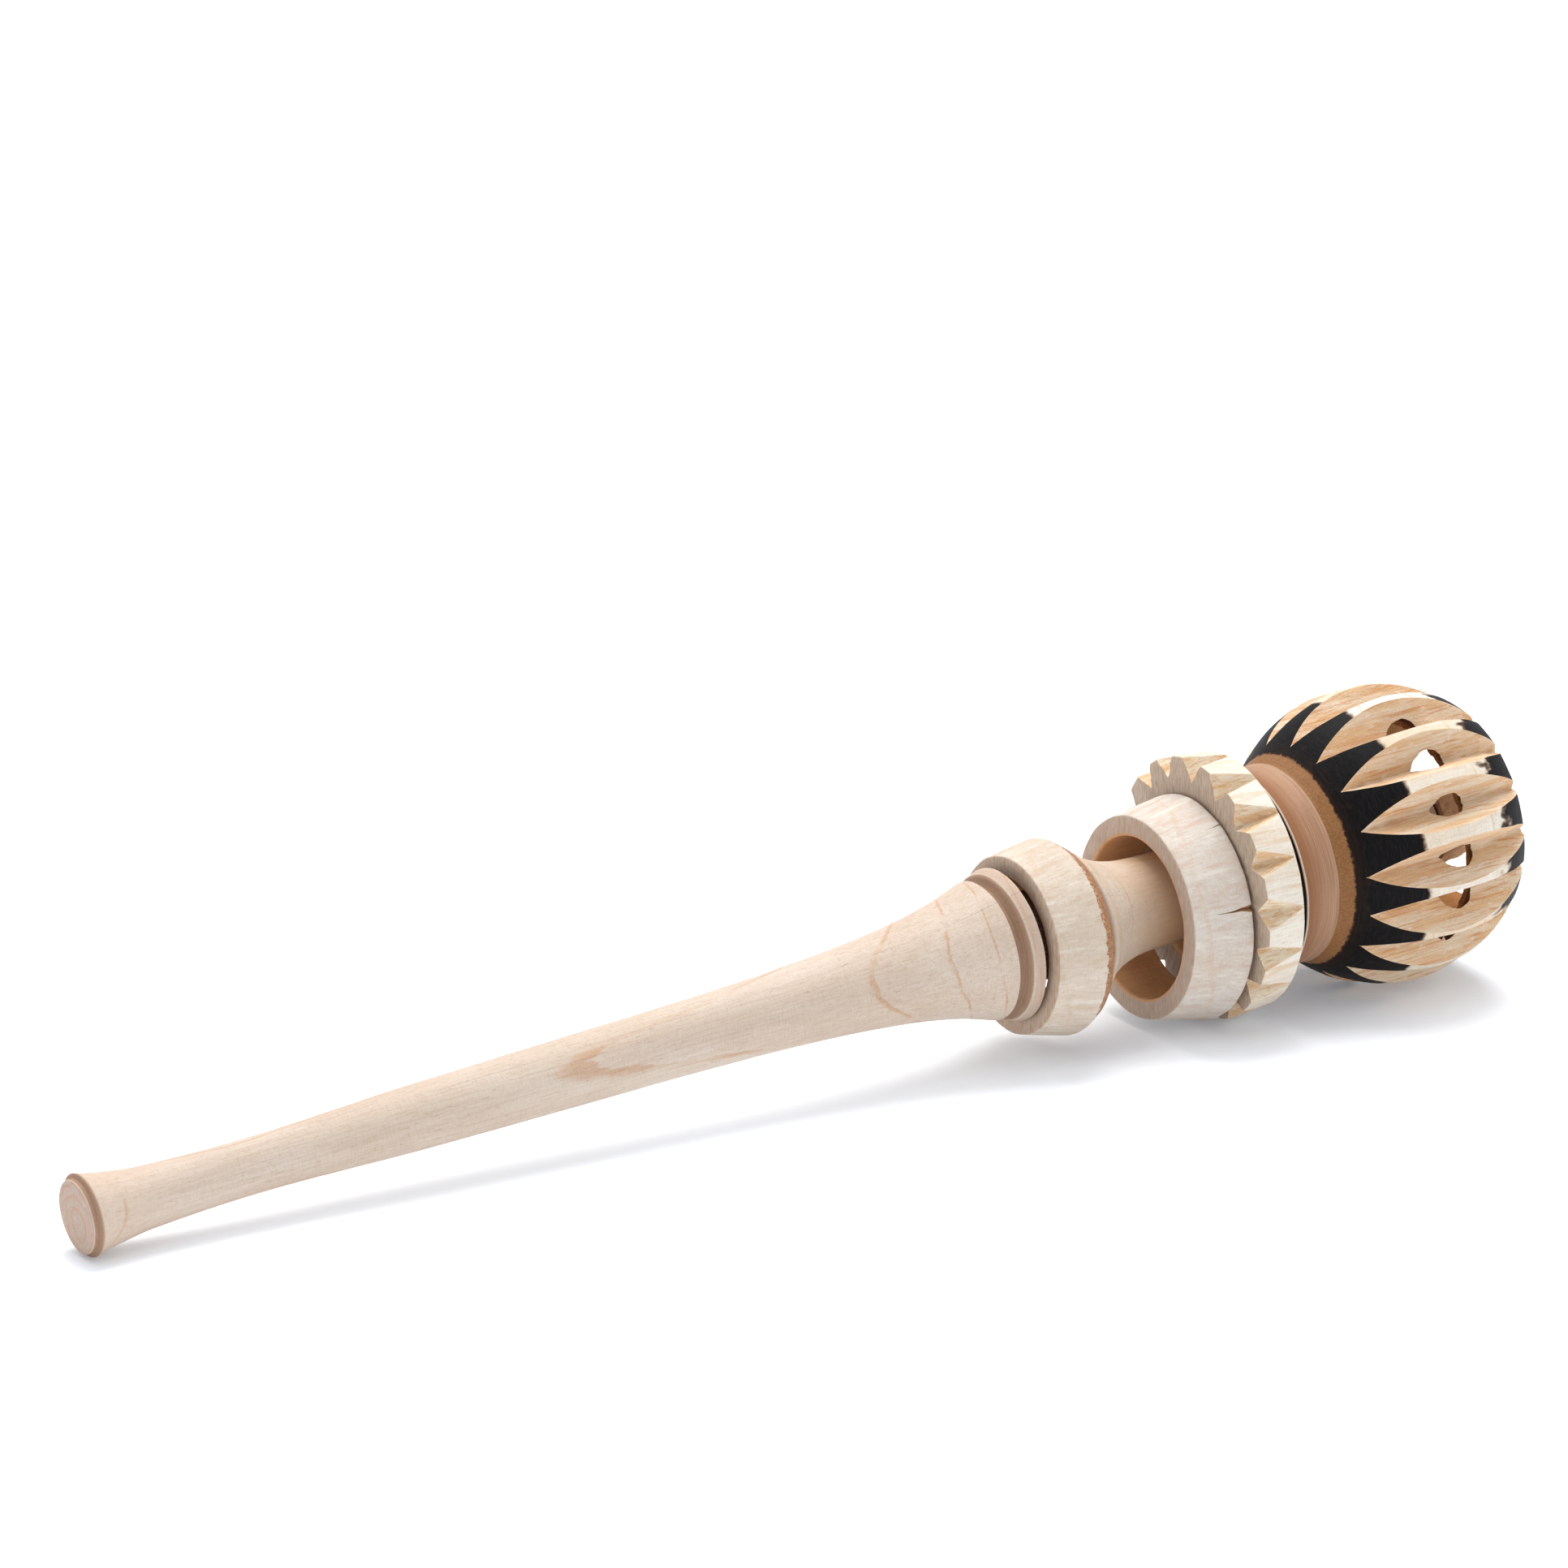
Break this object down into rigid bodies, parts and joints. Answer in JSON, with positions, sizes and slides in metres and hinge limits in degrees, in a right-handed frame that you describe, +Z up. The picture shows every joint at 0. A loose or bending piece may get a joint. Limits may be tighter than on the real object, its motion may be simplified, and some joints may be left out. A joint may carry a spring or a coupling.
{
  "type": "wooden chocolate whisk",
  "caption": "Turned wooden chocolate whisk (molinillo) with a flared handle, loose rings around its neck and a hollow, fluted head with burnt bands.",
  "frame": {"origin": "on the table, under the middle of the object's bounding box", "axes": "+X from the butt towards the head, along the stick seen from above; +Z up; the stick lies on its butt rim and its head, rising 4.4 degrees towards the head"},
  "size_m": [0.3328, 0.0636, 0.0637],
  "materials": {
    "stick_wood": "bare turned and carved pine, burnt black in bands around the head",
    "narrow_ring_wood": "bare turned pine",
    "wide_ring_wood": "bare turned pine with a short drying crack",
    "toothed_ring_wood": "bare turned pine with knife-cut notches"
  },
  "bodies": {
    "whisk_body": {"whisk_body": "stick_wood"},
    "narrow_ring": {"narrow_ring": "narrow_ring_wood"},
    "wide_ring": {"wide_ring": "wide_ring_wood"},
    "toothed_ring": {"toothed_ring": "toothed_ring_wood"}
  },
  "joints": [
    {"name": "narrow_ring_spin", "type": "hinge", "parent": "whisk_body", "child": "narrow_ring", "pos_m": [0.04958, 0.00009, 0.02409], "axis": [1, 0, 0], "continuous": true},
    {"name": "wide_ring_slide", "type": "slide", "parent": "whisk_body", "child": "wide_ring", "axis": [-1, 0, 0], "range_m": [0, 0.012]},
    {"name": "toothed_ring_spin", "type": "hinge", "parent": "whisk_body", "child": "toothed_ring", "pos_m": [0.0962, 0.00009, 0.02826], "axis": [0.9984, -0.0262, 0.0501], "continuous": true}
  ]
}
